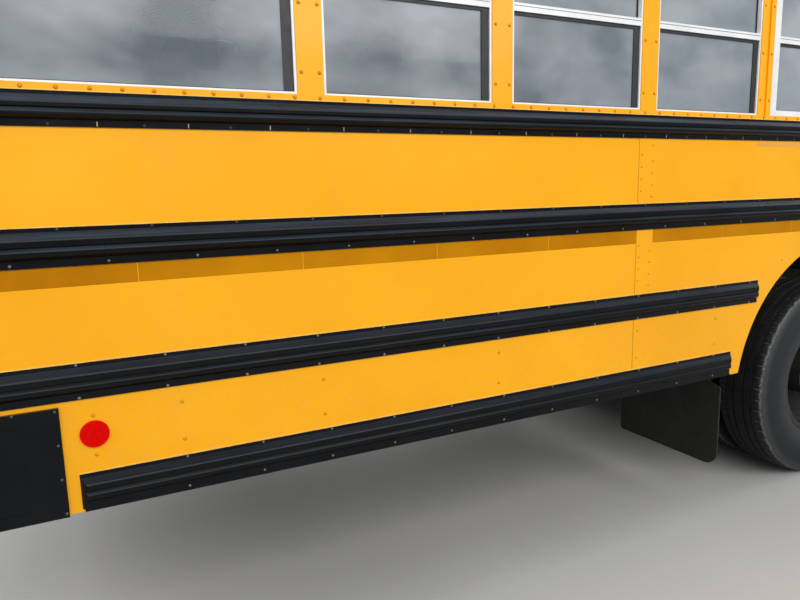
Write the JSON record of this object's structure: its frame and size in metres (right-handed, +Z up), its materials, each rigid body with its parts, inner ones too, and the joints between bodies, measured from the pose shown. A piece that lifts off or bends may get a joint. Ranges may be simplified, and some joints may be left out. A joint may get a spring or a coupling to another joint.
{
  "type": "school bus",
  "caption": "Hooded school bus with rub rails, twin rear wheels, steered front wheels, opening doors, tilting hood, stop arm and roof hatch.",
  "frame": {"origin": "on the ground, under the middle of the length and width", "axes": "+X to the front, +Y to the bus's left, +Z up"},
  "size_m": [12.0953, 3.34, 3.2],
  "materials": {
    "yellow_paint": "school-bus yellow enamel, clean with light dust",
    "black_paint": "black enamel, slightly dusty",
    "chassis_black": "black chassis paint",
    "white_trim": "white window frames",
    "glass": "tinted safety glass",
    "rubber_black": "moulded rubber sheet",
    "tyre": "worn, dusty road tyre",
    "rim_paint": "black painted steel wheel",
    "seat_vinyl": "grey seat vinyl",
    "seat_steel": "black tube and sheet",
    "dash_plastic": "grained black plastic",
    "red_lens": "red lens",
    "amber_lens": "amber lens",
    "clear_lens": "clear lens",
    "iron": "cast and machined iron",
    "floor_rubber": "black floor covering on steel",
    "exhaust_steel": "dull aluminised steel",
    "grille_black": "black grille",
    "sign_red": "red sign, blank",
    "hatch_white": "white moulded lid"
  },
  "bodies": {
    "bus_body": {"chassis_frame": "chassis_black", "front_axle": "iron", "rear_axle": "iron", "leaf_springs": "chassis_black", "drivetrain": "iron", "fuel_tank": "chassis_black", "exhaust": "exhaust_steel", "mud_flaps": "rubber_black", "front_bumper": "black_paint", "rear_bumper": "black_paint", "floor": "floor_rubber", "side_wall_right": "yellow_paint", "side_wall_left": "yellow_paint", "rear_wall": "yellow_paint", "roof": "yellow_paint", "front_end": "yellow_paint", "rub_rails": "black_paint", "window_frames": "white_trim", "window_glass": "glass", "seat_cushions": "seat_vinyl", "seat_frames": "seat_steel", "dashboard": "dash_plastic", "red_lamps": "red_lens", "amber_lamps": "amber_lens", "mirrors": "dash_plastic", "lamp_visors": "black_paint", "wipers": "black_paint", "body_hinges": "black_paint"},
    "hood": {"hood": "yellow_paint", "grille": "grille_black", "headlamps": "clear_lens", "hood_turn_lamps": "amber_lens", "hood_mirrors": "dash_plastic"},
    "knuckle_right": {"knuckle_right": "iron"},
    "knuckle_left": {"knuckle_left": "iron"},
    "front_wheel_right": {"front_tyre_right": "tyre", "front_rim_right": "rim_paint"},
    "front_wheel_left": {"front_tyre_left": "tyre", "front_rim_left": "rim_paint"},
    "rear_wheels_right": {"rear_tyres_right": "tyre", "rear_rims_right": "rim_paint"},
    "rear_wheels_left": {"rear_tyres_left": "tyre", "rear_rims_left": "rim_paint"},
    "door_leaf_front": {"door_leaf_front": "yellow_paint", "door_glass_front": "glass"},
    "door_leaf_rear": {"door_leaf_rear": "yellow_paint", "door_glass_rear": "glass"},
    "emergency_door": {"emergency_door": "yellow_paint", "emergency_glass": "glass"},
    "stop_arm": {"stop_arm": "sign_red"},
    "roof_hatch": {"roof_hatch": "hatch_white"}
  },
  "joints": [
    {"name": "hood_tilt", "type": "hinge", "parent": "bus_body", "child": "hood", "pos_m": [5.85, 0, 0.84], "axis": [0, 1, 0], "range_deg": [0, 70]},
    {"name": "steer_right", "type": "hinge", "parent": "bus_body", "child": "knuckle_right", "pos_m": [4.985, -0.89, 0.527], "axis": [0, 0, 1], "range_deg": [-40, 40]},
    {"name": "steer_left", "type": "hinge", "parent": "bus_body", "child": "knuckle_left", "pos_m": [4.985, 0.89, 0.527], "axis": [0, 0, 1], "range_deg": [-40, 40]},
    {"name": "front_spin_right", "type": "hinge", "parent": "knuckle_right", "child": "front_wheel_right", "pos_m": [4.985, -1.02, 0.527], "axis": [0, 1, 0], "continuous": true},
    {"name": "front_spin_left", "type": "hinge", "parent": "knuckle_left", "child": "front_wheel_left", "pos_m": [4.985, 1.02, 0.527], "axis": [0, 1, 0], "continuous": true},
    {"name": "rear_spin_right", "type": "hinge", "parent": "bus_body", "child": "rear_wheels_right", "pos_m": [-1.945, -0.87, 0.527], "axis": [0, 1, 0], "continuous": true},
    {"name": "rear_spin_left", "type": "hinge", "parent": "bus_body", "child": "rear_wheels_left", "pos_m": [-1.945, 0.87, 0.527], "axis": [0, 1, 0], "continuous": true},
    {"name": "door_front", "type": "hinge", "parent": "bus_body", "child": "door_leaf_front", "pos_m": [4.05, -1.231, 1.45], "axis": [0, 0, 1], "range_deg": [0, 90]},
    {"name": "door_rear", "type": "hinge", "parent": "bus_body", "child": "door_leaf_rear", "pos_m": [3.23, -1.231, 1.45], "axis": [0, 0, -1], "range_deg": [0, 90]},
    {"name": "emergency_door", "type": "hinge", "parent": "bus_body", "child": "emergency_door", "pos_m": [-5.986, -0.45, 1.8], "axis": [0, 0, 1], "range_deg": [0, 110]},
    {"name": "stop_arm", "type": "hinge", "parent": "bus_body", "child": "stop_arm", "pos_m": [2.78, 1.265, 1.625], "axis": [0, 0, -1], "range_deg": [0, 90]},
    {"name": "roof_hatch", "type": "hinge", "parent": "bus_body", "child": "roof_hatch", "pos_m": [-0.064, 0, 3.172], "axis": [0, 1, 0], "range_deg": [0, 60]}
  ],
  "couplings": [
    {"joint": "steer_left", "follows": "steer_right", "ratio": 1},
    {"joint": "door_rear", "follows": "door_front", "ratio": 1}
  ]
}
